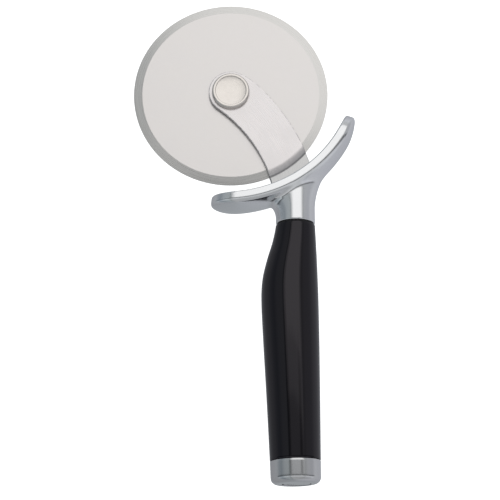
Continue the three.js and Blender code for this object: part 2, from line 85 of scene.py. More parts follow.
def new_tree(name, inputs, outputs, kind="ShaderNodeTree"):
    """An empty node tree with named inputs (name, socket, default) and outputs."""
    tree = bpy.data.node_groups.new(name, kind)
    for label, socket, default in inputs:
        made = tree.interface.new_socket(label, in_out="INPUT", socket_type=socket)
        if default is not None:
            made.default_value = default
    for label, socket in outputs:
        tree.interface.new_socket(label, in_out="OUTPUT", socket_type=socket)
    return tree, tree.nodes.new("NodeGroupInput"), tree.nodes.new("NodeGroupOutput")


def add(tree, kind, settings=(), **sockets):
    """A node with its settings, and its inputs given as values or linked from other sockets."""
    node = tree.nodes.new(kind)
    for key, value in dict(settings).items():
        setattr(node, key, value)
    for key, value in sockets.items():
        socket = node.inputs[int(key[1:])] if key[0] == "i" and key[1:].isdigit() else node.inputs[key]
        if isinstance(value, bpy.types.NodeSocket):
            tree.links.new(value, socket)
        else:
            socket.default_value = value
    return node


def sums(tree, operation, first, second=0.0, third=0.0):
    """One step of arithmetic."""
    return add(tree, "ShaderNodeMath", {"operation": operation}, i0=first, i1=second, i2=third).outputs[0]


RING_SIZES = ("Hole Radius", "Shoulder Radius", "Rim Radius", "Half Thickness", "Half Rim")


def ring_tree():
    """A turned ring: a grid of seven rows bent round the axle, closed where its ends meet."""
    inputs = [(label, "NodeSocketFloat", 0.01) for label in RING_SIZES]
    inputs += [("Middle", "NodeSocketVector", None), ("Sides", "NodeSocketInt", 128),
               ("Material", "NodeSocketMaterial", None)]
    tree, given, result = new_tree("turned_ring", inputs, [("Geometry", "NodeSocketGeometry")],
                                   "GeometryNodeTree")
    hole, shoulder, rim, half, half_rim, middle, sides, material = given.outputs[:8]
    around = sums(tree, "ADD", sides, 1.0)
    grid = add(tree, "GeometryNodeMeshGrid", i0=1.0, i1=1.0, i2=around, i3=7)
    place = add(tree, "ShaderNodeSeparateXYZ", i0=add(tree, "GeometryNodeInputPosition").outputs[0])
    turn = sums(tree, "MULTIPLY", place.outputs[0], 2 * math.pi)
    row = sums(tree, "MULTIPLY_ADD", place.outputs[1], 6.0, 3.0)
    low, low_rim = sums(tree, "MULTIPLY", half, -1.0), sums(tree, "MULTIPLY", half_rim, -1.0)
    radii = [hole, shoulder, rim, rim, shoulder, hole, hole]
    heights = [low, low, low_rim, half_rim, half, half, low]
    chosen = []
    for values in (radii, heights):
        switch = tree.nodes.new("GeometryNodeIndexSwitch")
        switch.data_type = "FLOAT"
        while len(switch.index_switch_items) < 7:
            switch.index_switch_items.new()
        tree.links.new(sums(tree, "ROUND", row), switch.inputs[0])
        for i, value in enumerate(values):
            tree.links.new(value, switch.inputs[i + 1])
        chosen.append(switch.outputs[0])
    point = add(tree, "ShaderNodeCombineXYZ",
                i0=sums(tree, "MULTIPLY", chosen[0], sums(tree, "COSINE", turn)),
                i1=sums(tree, "MULTIPLY", chosen[0], sums(tree, "SINE", turn)), i2=chosen[1])
    moved = add(tree, "ShaderNodeVectorMath", {"operation": "ADD"}, i0=point.outputs[0], i1=middle)
    bent = add(tree, "GeometryNodeSetPosition", Geometry=grid.outputs[0], Position=moved.outputs[0])
    closed = add(tree, "GeometryNodeMergeByDistance", Geometry=bent.outputs[0], Distance=1e-7)
    real = add(tree, "GeometryNodeRealizeInstances", Geometry=closed.outputs[0])
    painted = add(tree, "GeometryNodeSetMaterial", Geometry=real.outputs[0], Material=material)
    tree.links.new(painted.outputs[0], result.inputs[0])
    return tree


TURNED_RING = ring_tree()


def bake_tree(name, tree, values):
    """Runs a geometry tree once with its named inputs and keeps the result as a plain mesh."""
    holder = bpy.data.objects.new(name, bpy.data.meshes.new(name))
    bpy.context.scene.collection.objects.link(holder)
    modifier = holder.modifiers.new(name, "NODES")
    modifier.node_group = tree
    for item in tree.interface.items_tree:
        if item.in_out == "INPUT" and item.name in values:
            modifier[item.identifier] = values[item.name]
    ready = holder.evaluated_get(bpy.context.evaluated_depsgraph_get())
    holder.data = bpy.data.meshes.new_from_object(ready)
    holder.modifiers.clear()
    finish_mesh(holder, 5)
    holder.data.name = name
    return holder


def turned_ring(name, sizes, height, material, sides=128):
    """A ring on the axle; sizes in millimetres in the order of RING_SIZES."""
    values = {label: size * MM for label, size in zip(RING_SIZES, sizes)}
    values.update({"Middle": HUB + Vector((0, 0, height * MM)), "Sides": sides, "Material": material})
    return bake_tree(name, TURNED_RING, values)


def grain_group():
    """Fine grain: a stretched noise for the lines or specks, and a broad one for smudges."""
    tree, given, result = new_tree(
        "fine_grain",
        [("Vector", "NodeSocketVector", None), ("Fineness", "NodeSocketFloat", 1.0),
         ("Smudge Vector", "NodeSocketVector", None), ("Smudge Size", "NodeSocketFloat", 60.0)],
        [("Grain", "NodeSocketFloat"), ("Smudge", "NodeSocketFloat")])
    lines = add(tree, "ShaderNodeTexNoise", Vector=given.outputs["Vector"],
                Scale=given.outputs["Fineness"], Detail=3.0, Roughness=0.6)
    broad = add(tree, "ShaderNodeTexNoise", Vector=given.outputs["Smudge Vector"],
                Scale=given.outputs["Smudge Size"], Detail=4.0, Roughness=0.55)
    tree.links.new(lines.outputs["Fac"], result.inputs["Grain"])
    tree.links.new(broad.outputs["Fac"], result.inputs["Smudge"])
    return tree


FINE_GRAIN = grain_group()


def new_material(name, metallic, roughness, color):
    """A material with its Principled shader, and the tree to add the rest to."""
    material = bpy.data.materials.new(name)
    material.use_nodes = True
    tree = material.node_tree
    shader = tree.nodes["Principled BSDF"]
    shader.inputs["Metallic"].default_value = metallic
    shader.inputs["Roughness"].default_value = roughness
    shader.inputs["Base Color"].default_value = (*color, 1)
    return material, tree, shader


def from_centre(tree, centre):
    """Object coordinates measured from a point given in millimetres from the hub."""
    coordinates = add(tree, "ShaderNodeTexCoord").outputs["Object"]
    origin = Vector(in_frame([centre])[0])
    settings = {"operation": "SUBTRACT"}
    return add(tree, "ShaderNodeVectorMath", settings, i0=coordinates, i1=origin).outputs[0]


def ring_coordinates(tree, local, across, along):
    """Polar coordinates in the blade's plane: lines run round the centre, across times finer
    over the radius than along the turn."""
    flat = add(tree, "ShaderNodeSeparateXYZ", i0=local)
    plane = add(tree, "ShaderNodeCombineXYZ", i0=flat.outputs[0], i1=flat.outputs[1])
    measured = add(tree, "ShaderNodeVectorMath", {"operation": "LENGTH"}, i0=plane.outputs[0])
    radius = measured.outputs["Value"]
    spoke = add(tree, "ShaderNodeVectorMath", {"operation": "NORMALIZE"}, i0=plane.outputs[0]).outputs[0]
    turn = add(tree, "ShaderNodeVectorMath", {"operation": "SCALE"}, i0=spoke, Scale=along).outputs[0]
    line = add(tree, "ShaderNodeCombineXYZ", i2=sums(tree, "MULTIPLY", radius, across))
    vector = add(tree, "ShaderNodeVectorMath", {"operation": "ADD"}, i0=turn, i1=line.outputs[0])
    return vector.outputs[0], radius


def grain_in(tree, vector, fineness, smudge_vector, smudge_size):
    """The grain group placed in a material; gives its two values."""
    node = tree.nodes.new("ShaderNodeGroup")
    node.node_tree = FINE_GRAIN
    node.inputs["Fineness"].default_value = fineness
    node.inputs["Smudge Size"].default_value = smudge_size
    tree.links.new(vector, node.inputs["Vector"])
    tree.links.new(smudge_vector, node.inputs["Smudge Vector"])
    return node.outputs["Grain"], node.outputs["Smudge"]


def span(tree, value, from_low, from_high, to_low, to_high):
    """A value moved from one range to another."""
    node = add(tree, "ShaderNodeMapRange", i0=value, i1=from_low, i2=from_high, i3=to_low, i4=to_high)
    return node.outputs[0]


def blend_colors(tree, factor, first, second):
    """Two colours mixed by a value that changes over the surface."""
    node = tree.nodes.new("ShaderNodeMix")
    node.data_type = "RGBA"
    tree.links.new(factor, node.inputs[0])
    for socket, value in ((node.inputs[6], first), (node.inputs[7], second)):
        if isinstance(value, bpy.types.NodeSocket):
            tree.links.new(value, socket)
        else:
            socket.default_value = (*value, 1)
    return node.outputs[2]


def bump_in(tree, shader, height, strength, distance):
    node = add(tree, "ShaderNodeBump", Height=height, Strength=strength, Distance=distance)
    tree.links.new(node.outputs[0], shader.inputs["Normal"])


def blade_steel():
    material, tree, shader = new_material("blade_steel", 1, 0.3, (0.74, 0.72, 0.69))
    local = from_centre(tree, (0, 0, 0))
    vector, radius = ring_coordinates(tree, local, 5200.0, 1.6)
    grain, smudge = grain_in(tree, vector, 1.0, local, 95.0)
    specks = add(tree, "ShaderNodeTexNoise", Vector=local, Scale=2600.0, Detail=2.0).outputs["Fac"]
    shoulder = (BLADE_RADIUS - BEVEL_WIDTH) * MM
    bevel = span(tree, radius, shoulder - 0.00008, shoulder + 0.00012, 0.0, 1.0)
    face_color = blend_colors(
        tree, span(tree, smudge, 0.3, 0.7, 0, 1), (0.775, 0.744, 0.725), (0.806, 0.775, 0.76))
    ring_color = blend_colors(
        tree, span(tree, grain, 0.3, 0.7, 0, 1), (0.68, 0.665, 0.64), (0.80, 0.785, 0.765))
    tree.links.new(blend_colors(tree, bevel, face_color, ring_color), shader.inputs["Base Color"])
    satin = sums(
        tree, "ADD", span(tree, smudge, 0.3, 0.7, 0.29, 0.33), span(tree, specks, 0.3, 0.7, -0.02, 0.03))
    ground = span(tree, grain, 0.3, 0.7, 0.24, 0.36)
    mixed = add(tree, "ShaderNodeMix", i0=bevel, i2=satin, i3=ground).outputs[0]
    tree.links.new(mixed, shader.inputs["Roughness"])
    faint = sums(tree, "MULTIPLY", specks, 0.25)
    relief = add(tree, "ShaderNodeMix", i0=bevel, i2=faint, i3=grain).outputs[0]
    bump_in(tree, shader, relief, 0.22, 0.00001)
    return material


blade = turned_ring(
    "blade", (BLADE_HOLE, BLADE_RADIUS - BEVEL_WIDTH, BLADE_RADIUS, BLADE_FACE, EDGE), 0,
    blade_steel(), sides=360)
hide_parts("blade_wheel")
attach(blade, "wheel")

# ---------------------------------------------------------------------------------------------
# Hub bushing and thrust washers: natural nylon, turned or punched. The bushing is pressed into
# the blade and runs on the axle; a washer on each side keeps the blade off the arms.
# ---------------------------------------------------------------------------------------------
AXLE_HOLE = 3.5
BUSHING_RADIUS = 5.2
WASHER_RADIUS = 7.6
WASHER_HALF = 0.2
WASHER_HEIGHT = BLADE_FACE + 0.15 + WASHER_HALF


def nylon():
    material, tree, shader = new_material("nylon", 0, 0.45, (0.8, 0.78, 0.72))
    local = from_centre(tree, (0, 0, 0))
    grain, smudge = grain_in(tree, local, 900.0, local, 240.0)
    tree.links.new(
        blend_colors(tree, smudge, (0.74, 0.72, 0.66), (0.84, 0.82, 0.77)), shader.inputs["Base Color"])
    tree.links.new(span(tree, grain, 0.3, 0.7, 0.4, 0.52), shader.inputs["Roughness"])
    shader.inputs["Subsurface Weight"].default_value = 0.1
    return material


NYLON = nylon()
bushing = turned_ring(
    "bushing", (AXLE_HOLE, BUSHING_RADIUS, BUSHING_RADIUS, BLADE_FACE, BLADE_FACE), 0, NYLON)
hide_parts("hub_bushing")
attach(bushing, "wheel")
for place, height in (("front", WASHER_HEIGHT), ("rear", -WASHER_HEIGHT)):
    washer = turned_ring(
        f"thrust_washer_{place}", (AXLE_HOLE, WASHER_RADIUS, WASHER_RADIUS, WASHER_HALF, WASHER_HALF),
        height, NYLON)
    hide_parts(f"washer_{place}")
    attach(washer, "handle")

# ---------------------------------------------------------------------------------------------
# Fork arms: two mirrored stampings in 1.4 mm stainless, brushed along their length. Each curves
# from a round eye on the axle, rolls inwards just past the blade's rim and ends in a tongue.
# ---------------------------------------------------------------------------------------------
ARM_THICKNESS = 1.4
ARM_FACE = 2.9                # height of an arm's outer face over the blade's middle
TANG_FACE = 1.55
EYE_RADIUS = 10.2
ARM_INNER, ARM_SHOULDER, ARM_OUTER = 68.0, 30.0, 99.8
TOUCH, CREST = math.radians(-126.7), math.radians(49.1)   # where both edges pass the eye
INNER_CENTRE = (EYE_RADIUS + ARM_INNER) * np.array((math.cos(TOUCH), math.sin(TOUCH)))
OUTER_CENTRE = (EYE_RADIUS + 0.9 - ARM_OUTER) * np.array((math.cos(CREST), math.sin(CREST)))
STEP_RUN = 3.5
STEP_FOOT = BLADE_RADIUS + 0.4
TANG_REACH = BLADE_RADIUS + 8
ROD_X = 28.9                  # the handle's own axis, to the side of the axle
TONGUE_HALF = 5.0             # half the tongue's width
TONGUE_TOP, TONGUE_END = -46.5, -61.5
RIVET_HOLE = 1.8
RIVET_HEIGHTS = (-53.4, -58.8)
ARM_EDGE = 0.22               # rounding of the tumbled edges


def arc(centre, radius, start, end, count=40):
    """Points on an arc, both ends included."""
    turns = np.linspace(start, end, count)
    return np.stack([centre[0] + radius * np.cos(turns), centre[1] + radius * np.sin(turns)], 1)


def crossing(first, r, second, s, side):
    """Where two circles cross; side picks one of the two points."""
    across = np.subtract(second, first)
    distance = np.hypot(*across)
    along = (r * r - s * s + distance * distance) / (2 * distance)
    off = math.sqrt(r * r - along * along) * side
    across = across / distance
    return np.array(first) + across * along + np.array((-across[1], across[0])) * off


def turn_of(centre, point):
    return math.atan2(point[1] - centre[1], point[0] - centre[0])


def arm_outline():
    """Plan of an arm: the eye, the inner edge that touches it, the tang's round end, the outer
    edge, and a shoulder that runs from there back to the eye."""
    origin = np.zeros(2)
    shoulder = crossing(origin, ARM_SHOULDER - EYE_RADIUS, OUTER_CENTRE, ARM_OUTER - ARM_SHOULDER, 1)
    on_eye, on_arc = turn_of(shoulder, origin), turn_of(OUTER_CENTRE, shoulder)
    outer_end = crossing(origin, TANG_REACH, OUTER_CENTRE, ARM_OUTER, 1)
    inner_end = crossing(origin, TANG_REACH, INNER_CENTRE, ARM_INNER, 1)
    return np.concatenate([
        arc(origin, EYE_RADIUS, on_eye, TOUCH + 2 * math.pi, 80),
        arc(INNER_CENTRE, ARM_INNER, TOUCH + math.pi, turn_of(INNER_CENTRE, inner_end), 60),
        arc(origin, TANG_REACH, turn_of(origin, inner_end), turn_of(origin, outer_end), 24),
        arc(OUTER_CENTRE, ARM_OUTER, turn_of(OUTER_CENTRE, outer_end), on_arc, 60),
        arc(shoulder, ARM_SHOULDER, on_arc, on_eye, 20),
    ])


def outline_distance(outline, plan):
    """Signed distance from points in the plane to a closed outline, negative inside."""
    best = np.full(len(plan), np.inf)
    inside = np.zeros(len(plan), bool)
    x, y = plan[:, 0], plan[:, 1]
    for a, b in zip(outline, np.roll(outline, -1, 0)):
        side = b - a
        long = side @ side
        if long < 1e-12:
            continue
        t = np.clip(((x - a[0]) * side[0] + (y - a[1]) * side[1]) / long, 0, 1)
        best = np.minimum(best, (x - a[0] - t * side[0]) ** 2 + (y - a[1] - t * side[1]) ** 2)
        if a[1] != b[1]:
            level = (a[1] > y) != (b[1] > y)
            inside ^= level & (x < a[0] + side[0] * (y - a[1]) / side[1])
    return np.where(inside, -1, 1) * np.sqrt(best)


def rounded_meet(first, second, edge):
    """The overlap of two forms, with the edge between them rounded."""
    a, b = first + edge, second + edge
    return np.minimum(np.maximum(a, b), 0) + np.hypot(np.maximum(a, 0), np.maximum(b, 0)) - edge


def slope_of(field, points, step=0.02):
    """Gradient of a form's distance field."""
    slope = np.empty_like(points)
    for axis in range(3):
        shift = np.zeros(3)
        shift[axis] = step
        slope[:, axis] = (field(points + shift) - field(points - shift)) / (2 * step)
    return slope


def skin(field, low, high, cell):
    """Points and quads of the surface where field is zero: one point in each grid cell that the
    surface crosses, evened out and then moved exactly onto the surface."""
    low, high = np.array(low, float), np.array(high, float)
    counts = np.ceil((high - low) / cell).astype(int) + 1
    axes = [low[i] + cell * np.arange(counts[i]) for i in range(3)]
    grid = np.stack(np.meshgrid(*axes, indexing="ij"), -1).reshape(-1, 3)
    inside = (field(grid) < 0).reshape(counts)
    filled = np.zeros(counts - 1, np.int8)
    for corner in itertools.product((0, 1), repeat=3):
        filled += inside[tuple(slice(c, n - 1 + c) for c, n in zip(corner, counts))]
    mixed = (filled > 0) & (filled < 8)
    number = np.full(mixed.shape, -1)
    number[mixed] = np.arange(mixed.sum())
    points = low + cell * (np.argwhere(mixed) + 0.5)
    quads = []
    for axis in range(3):
        b, c = (axis + 1) % 3, (axis + 2) % 3
        near, far = [slice(None)] * 3, [slice(None)] * 3
        near[axis], far[axis] = slice(0, -1), slice(1, None)
        edges = np.argwhere(inside[tuple(near)] != inside[tuple(far)])
        corners = []
        for back_b, back_c in ((1, 1), (0, 1), (0, 0), (1, 0)):
            cell_place = edges.copy()
            cell_place[:, b] -= back_b
            cell_place[:, c] -= back_c
            corners.append(number[tuple(cell_place.T)])
        quads.append(np.stack(corners, 1))
    quads = np.concatenate(quads)
    for round_number in range(5):
        if round_number < 3:
            total, seen = np.zeros_like(points), np.zeros(len(points))
            for i in range(4):
                np.add.at(total, quads[:, i], points[quads[:, i - 1]] + points[quads[:, (i + 1) % 4]])
                np.add.at(seen, quads[:, i], 2)
            points = 0.4 * points + 0.6 * total / seen[:, None]
        slope = slope_of(field, points)
        steep = np.maximum((slope ** 2).sum(1), 0.2)
        move = np.clip(field(points) / steep, -cell, cell)
        points = points - move[:, None] * slope
    return points, quads


STEP_DROP = ARM_FACE - TANG_FACE
STEP_ROLL = (STEP_RUN ** 2 + STEP_DROP ** 2) / (2 * STEP_DROP)   # radius that the roll is bent to
STEP_SHIFT = ARM_THICKNESS * math.tan(math.asin(STEP_RUN / STEP_ROLL) / 2)
ARM_OUTLINE = arm_outline()


def arm_level(radius, foot, height):
    """Height of a face of the arm: level, then a roll that falls to the tang at the foot."""
    along = np.clip(radius - (foot - STEP_RUN), 0, STEP_RUN)
    rolled = height - STEP_ROLL + np.sqrt(STEP_ROLL ** 2 - along ** 2)
    return np.where(radius > foot, height - STEP_DROP, rolled)


def arm_field(points):
    """Distance from an arm: its outline with the tongue, less the holes, between its two faces."""
    plan = outline_distance(ARM_OUTLINE, points[:, :2])
    across, down = points[:, 0] - ROD_X, points[:, 1]
    past_ends = np.abs(down - (TONGUE_TOP + TONGUE_END) / 2) - (TONGUE_TOP - TONGUE_END) / 2
    tongue = np.maximum(np.abs(across) - TONGUE_HALF, past_ends)
    radius = np.hypot(points[:, 0], down)
    plan = np.minimum(plan, np.where(radius > BLADE_RADIUS + 1, tongue, 9.0))
    plan = np.maximum(plan, AXLE_HOLE - radius)
    for y in RIVET_HEIGHTS:
        plan = np.maximum(plan, RIVET_HOLE - np.hypot(across, down - y))
    top = points[:, 2] - arm_level(radius, STEP_FOOT, ARM_FACE)
    bottom = arm_level(radius, STEP_FOOT + STEP_SHIFT, ARM_FACE - ARM_THICKNESS) - points[:, 2]
    return rounded_meet(plan, np.maximum(top, bottom), ARM_EDGE)


def brushed_arm_steel():
    """Brushed down to the step, with painted shade darkening the foot of the roll; past the step the
    tang's colour is darkened as painted shade.
    """
    material, tree, shader = new_material("brushed_arm_steel", 1, 0.3, (0.78, 0.76, 0.74))
    local = from_centre(tree, (*(INNER_CENTRE + OUTER_CENTRE) / 2, 0))
    vector, _ = ring_coordinates(tree, local, 6200.0, 7.0)
    grain, smudge = grain_in(tree, vector, 1.0, local, 120.0)
    brushed = blend_colors(
        tree, span(tree, grain, 0.3, 0.7, 0, 1), (0.78, 0.746, 0.738), (0.82, 0.786, 0.784))
    from_hub = add(tree, "ShaderNodeVectorMath", {"operation": "LENGTH"}, i0=from_centre(tree, (0, 0, 0)))
    radius = from_hub.outputs["Value"]
    past_step = span(tree, radius, (STEP_FOOT + 0.1) * MM, (STEP_FOOT + 0.5) * MM, 0, 1)
    # Painted shade: over the last millimetre of the roll, where it meets the tang, the colour darkens
    # towards grey.
    crease_painted_shade = span(tree, radius, (STEP_FOOT - 1.0) * MM, (STEP_FOOT - 0.1) * MM, 0, 1)
    shaded = blend_colors(tree, sums(tree, "POWER", crease_painted_shade, 2.0), brushed, (0.42, 0.41, 0.41))
    # Painted shade: past the step the tang's colour is darkened, standing in for the dimmer light it gets
    # below the guard.
    tree.links.new(
        blend_colors(tree, past_step, shaded, (0.605, 0.60, 0.597)), shader.inputs["Base Color"])
    streaks = sums(
        tree, "ADD", span(tree, grain, 0.3, 0.7, 0.24, 0.32), span(tree, smudge, 0.3, 0.7, -0.02, 0.03))
    on_roll = span(tree, radius, (STEP_FOOT - 3.3) * MM, (STEP_FOOT - 1.5) * MM, 0, 0.22)
    on_roll = sums(tree, "MULTIPLY", on_roll, sums(tree, "SUBTRACT", 1.0, past_step))
    tree.links.new(sums(tree, "ADD", streaks, on_roll), shader.inputs["Roughness"])
    bump_in(tree, shader, grain, 0.12, 0.00001)
    return material


ARM_STEEL = brushed_arm_steel()
ARM_LOW, ARM_HIGH, ARM_CELL = (-11.2, -62.5, -0.6), (39.8, 11.2, 3.7), 0.3   # box round an arm
arm_points, arm_quads = skin(arm_field, ARM_LOW, ARM_HIGH, ARM_CELL)
for place, side in (("front", 1), ("rear", -1)):
    arm = make_piece(f"arm_{place}", arm_points * (1, 1, side), arm_quads, 50)
    arm.data.materials.append(ARM_STEEL)
    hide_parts(f"fork_arm_{place}")
    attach(arm, "handle")

# ---------------------------------------------------------------------------------------------
# Axle: a screw in a barrel, each turned from stainless bar with a wide head that is dished in
# the middle. The heads clamp the eyes of the arms and the blade runs on the barrel between.
# ---------------------------------------------------------------------------------------------
HEAD_RADIUS = 8.65
HEAD_BASE = ARM_FACE + 0.15
HEAD_TOP = HEAD_BASE + 1.9
HEAD_FLOOR = HEAD_BASE + 1.1
HEAD_SKIRT = HEAD_TOP - 0.95  # where the straight flank turns into the rounded crest
CREST_RADIUS = 7.75
DISH_RADIUS = 6.95
DISH_SAG = 0.4                # rise of the dish's floor out to its wall
DISH_LIP = HEAD_TOP - 0.04
SCREW_RADIUS = 2.0
BARREL_BORE = 2.3
BARREL_RADIUS = 3.2


def ring_faces(rings, sides, closed):
    """Quads between rings of points; closed joins the last ring to the first."""
    count = rings if closed else rings - 1
    return [
        (i * sides + j, i * sides + (j + 1) % sides,
         ((i + 1) % rings) * sides + (j + 1) % sides, ((i + 1) % rings) * sides + j)
        for i in range(count) for j in range(sides)]


def turned(name, profile, sides):
    """A piece turned about the axle from a profile of (radius, height) that starts and ends on
    the axis."""
    turns = np.linspace(0, 2 * math.pi, sides, endpoint=False)
    points = [(r * math.cos(t), r * math.sin(t), z) for r, z in profile for t in turns]
    return make_piece(name, points, ring_faces(len(profile), sides, False))


def curve(first, second, bend, count=6):
    """Points from first to second that bow towards bend."""
    share = np.linspace(0, 1, count)[:, None]
    points = (1 - share) ** 2 * first + 2 * share * (1 - share) * bend + share ** 2 * second
    return [tuple(p) for p in points]


def head_profile(stem):
    """A head's outline: the hollow floor, its low wall, the crest and the rounded flank."""
    radii = np.linspace(0, DISH_RADIUS, 24)
    floor = [(r, HEAD_FLOOR + DISH_SAG * (r / DISH_RADIUS) ** 3) for r in radii]
    wall, lip = np.array(floor[-1]), np.array((DISH_RADIUS + 0.25, DISH_LIP))
    crest, side = np.array((CREST_RADIUS, HEAD_TOP)), np.array((HEAD_RADIUS, HEAD_SKIRT))
    return [
        *floor, *curve(wall, lip, np.array((DISH_RADIUS + 0.1, DISH_LIP)), 5)[1:],
        (DISH_RADIUS + 0.45, HEAD_TOP), *curve(crest, side, np.array((HEAD_RADIUS, HEAD_TOP)), 9),
        (HEAD_RADIUS, HEAD_BASE + 0.08), (HEAD_RADIUS - 0.08, HEAD_BASE), (stem, HEAD_BASE)]


def turned_steel():
    material, tree, shader = new_material("turned_steel", 1, 0.26, (0.79, 0.755, 0.71))
    local = from_centre(tree, (0, 0, 0))
    vector, _ = ring_coordinates(tree, local, 4200.0, 0.8)
    grain, smudge = grain_in(tree, vector, 1.0, local, 260.0)
    tree.links.new(
        blend_colors(tree, span(tree, smudge, 0.3, 0.7, 0, 1), (0.80, 0.752, 0.705), (0.84, 0.79, 0.745)),
        shader.inputs["Base Color"])
    tree.links.new(span(tree, grain, 0.3, 0.7, 0.23, 0.29), shader.inputs["Roughness"])
    bump_in(tree, shader, grain, 0.04, 0.00001)
    return material


TURNED_STEEL = turned_steel()
screw_profile = head_profile(SCREW_RADIUS) + [(SCREW_RADIUS, -ARM_FACE), (0, -ARM_FACE)]
screw = turned("axle_screw_head", screw_profile, 128)
mouth, depth = 0.15 - ARM_FACE, ARM_FACE + 0.3
barrel_profile = head_profile(BARREL_RADIUS) + [
    (BARREL_RADIUS, mouth), (BARREL_BORE, mouth), (BARREL_BORE, depth), (0, depth)]
barrel = turned("axle_barrel_head", [(r, -z) for r, z in barrel_profile], 128)
for piece, node in ((screw, "axle_screw"), (barrel, "axle_barrel")):
    piece.data.materials.append(TURNED_STEEL)
    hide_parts(node)
    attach(piece, "handle")

# ---------------------------------------------------------------------------------------------
# Bolster: guard, neck and spigot in one zinc die casting, polished and satin chrome plated. The
# guard is a crowned crescent that follows the blade's rim; the round neck flares into its back.
# ---------------------------------------------------------------------------------------------
GUARD_X, GUARD_Y = -2.5, 7.7
GUARD_INSIDE = BLADE_RADIUS + 13.7
GUARD_THICKNESS = 4.6
GUARD_HALF_DEPTH = 9.7
GUARD_CORNER, GUARD_TIP = 9.0, 13.0   # the tips' rounding: across the depth and lengthwise
GUARD_CROWN, GUARD_SWELL = 1.8, 0.8   # thickness added on the back, and more half way along
GUARD_EDGE, GUARD_HEEL, GUARD_NOSE = 0.7, 1.6, 1.2   # rounding inside, outside and at the tips
GUARD_START, GUARD_END = math.radians(-95.8), math.radians(-18.75)
NECK_END = -63.6
NECK_LEFT, NECK_RIGHT, NECK_DEEP = 20.6, 38.3, 8.35
NECK_SWEEP = 34.0             # radius of the neck's right side up into the guard
NECK_WEB, NECK_WEB_RISE = 6, 8   # reach and height of the web on the neck's left
NECK_BLEND = 1.9              # fillet between the neck and the guard's back
NECK_EDGE = 0.4               # rounding where the neck meets the grip
CASTING_GAP = 0.3             # play of the arms in the slot that is cast for them
TANG_SLOT = TANG_FACE + CASTING_GAP
POCKET_HALF, POCKET_TOP = 2.8, -BLADE_RADIUS   # half the depth of the tongues' pocket
SPIGOT_RADIUS, SPIGOT_END, SPIGOT_TOP = 4, NECK_END - 15.5, NECK_END + 1
ROD_HOLE, ROD_HOLE_TOP = 2.3, NECK_END - 2


def guard_back(x):
    """Level of the guard's back, without its crown, at a place across the handle."""
    outside = GUARD_INSIDE + GUARD_THICKNESS
    return GUARD_Y - math.sqrt(outside ** 2 - (x - GUARD_X) ** 2)


def flare(below, spread, length):
    """Reach of a web that grows in a quarter turn as it nears the guard."""
    rise = np.clip(1 - below / length, 0, 1)
    return spread * (1 - np.sqrt(1 - rise * rise))


def guard_field(points):
    """Distance from the crescent: rounded tips, level inside, crowned outside."""
    x, y, z = points[:, 0] - GUARD_X, points[:, 1] - GUARD_Y, points[:, 2]
    ring = np.hypot(x, y)
    middle = GUARD_INSIDE + GUARD_THICKNESS / 2
    along = (np.arctan2(y, x) - (GUARD_START + GUARD_END) / 2) * middle
    half_length = (GUARD_END - GUARD_START) / 2 * middle
    over_along = (np.abs(along) - half_length) * GUARD_CORNER / GUARD_TIP + GUARD_CORNER
    over_deep = np.abs(z) - GUARD_HALF_DEPTH + GUARD_CORNER
    plan = np.hypot(np.maximum(over_along, 0), np.maximum(over_deep, 0))
    plan = plan + np.minimum(np.maximum(over_along, over_deep), 0) - GUARD_CORNER
    from_tip = np.clip((half_length - np.abs(along)) / GUARD_TIP, 0, 1)
    depth = GUARD_HALF_DEPTH - GUARD_CORNER * (1 - np.sqrt(1 - (1 - from_tip) ** 2))
    crown = GUARD_CROWN + GUARD_SWELL * (1 - (along / half_length) ** 2)
    crown = crown * np.clip(1 - (z / depth) ** 2, 0, 1) * (depth / GUARD_HALF_DEPTH) ** 2
    near_tip = np.clip(1 - from_tip, 0, 1) ** 3
    front = rounded_meet(plan, GUARD_INSIDE - ring, GUARD_EDGE + (GUARD_NOSE - GUARD_EDGE) * near_tip)
    back = ring - GUARD_INSIDE - GUARD_THICKNESS - crown
    return np.maximum(front, rounded_meet(plan, back, GUARD_HEEL + (GUARD_NOSE - GUARD_HEEL) * near_tip))


BACK = GUARD_INSIDE + GUARD_THICKNESS + GUARD_CROWN
SWEEP_X = NECK_RIGHT + NECK_SWEEP
SWEEP_Y = GUARD_Y - math.sqrt((BACK + NECK_SWEEP) ** 2 - (SWEEP_X - GUARD_X) ** 2)
SWEEP_TOP = GUARD_Y + (SWEEP_Y - GUARD_Y) * BACK / (BACK + NECK_SWEEP)


def neck_section(points):
    """A round column with a web on each side, which fades towards the front and the back."""
    x, y, z = points[:, 0] - (NECK_LEFT + NECK_RIGHT) / 2, points[:, 1], points[:, 2]
    half = (NECK_RIGHT - NECK_LEFT) / 2
    left_web = flare(guard_back(NECK_LEFT - NECK_WEB) - y, NECK_WEB, NECK_WEB_RISE)
    rise = np.clip(y, SWEEP_Y, SWEEP_TOP) - SWEEP_Y
    right_web = NECK_SWEEP - np.sqrt(NECK_SWEEP ** 2 - rise ** 2)
    web = np.where(x > 0, right_web, left_web) * np.clip(1 - (z / NECK_DEEP) ** 2, 0, 1)
    return (np.hypot(x / (half + web), z / NECK_DEEP) - 1) * NECK_DEEP


def neck_field(points):
    """Distance from the neck, between the grip's end and the middle of the guard."""
    slope = np.sqrt((slope_of(neck_section, points, 0.05) ** 2).sum(1))
    side = neck_section(points) / np.maximum(slope, 0.4)
    ring = np.hypot(points[:, 0] - GUARD_X, points[:, 1] - GUARD_Y)
    top = np.maximum(GUARD_INSIDE + GUARD_THICKNESS / 2 - ring, points[:, 1] - SWEEP_TOP)
    return rounded_meet(np.maximum(side, top), NECK_END - points[:, 1], NECK_EDGE)


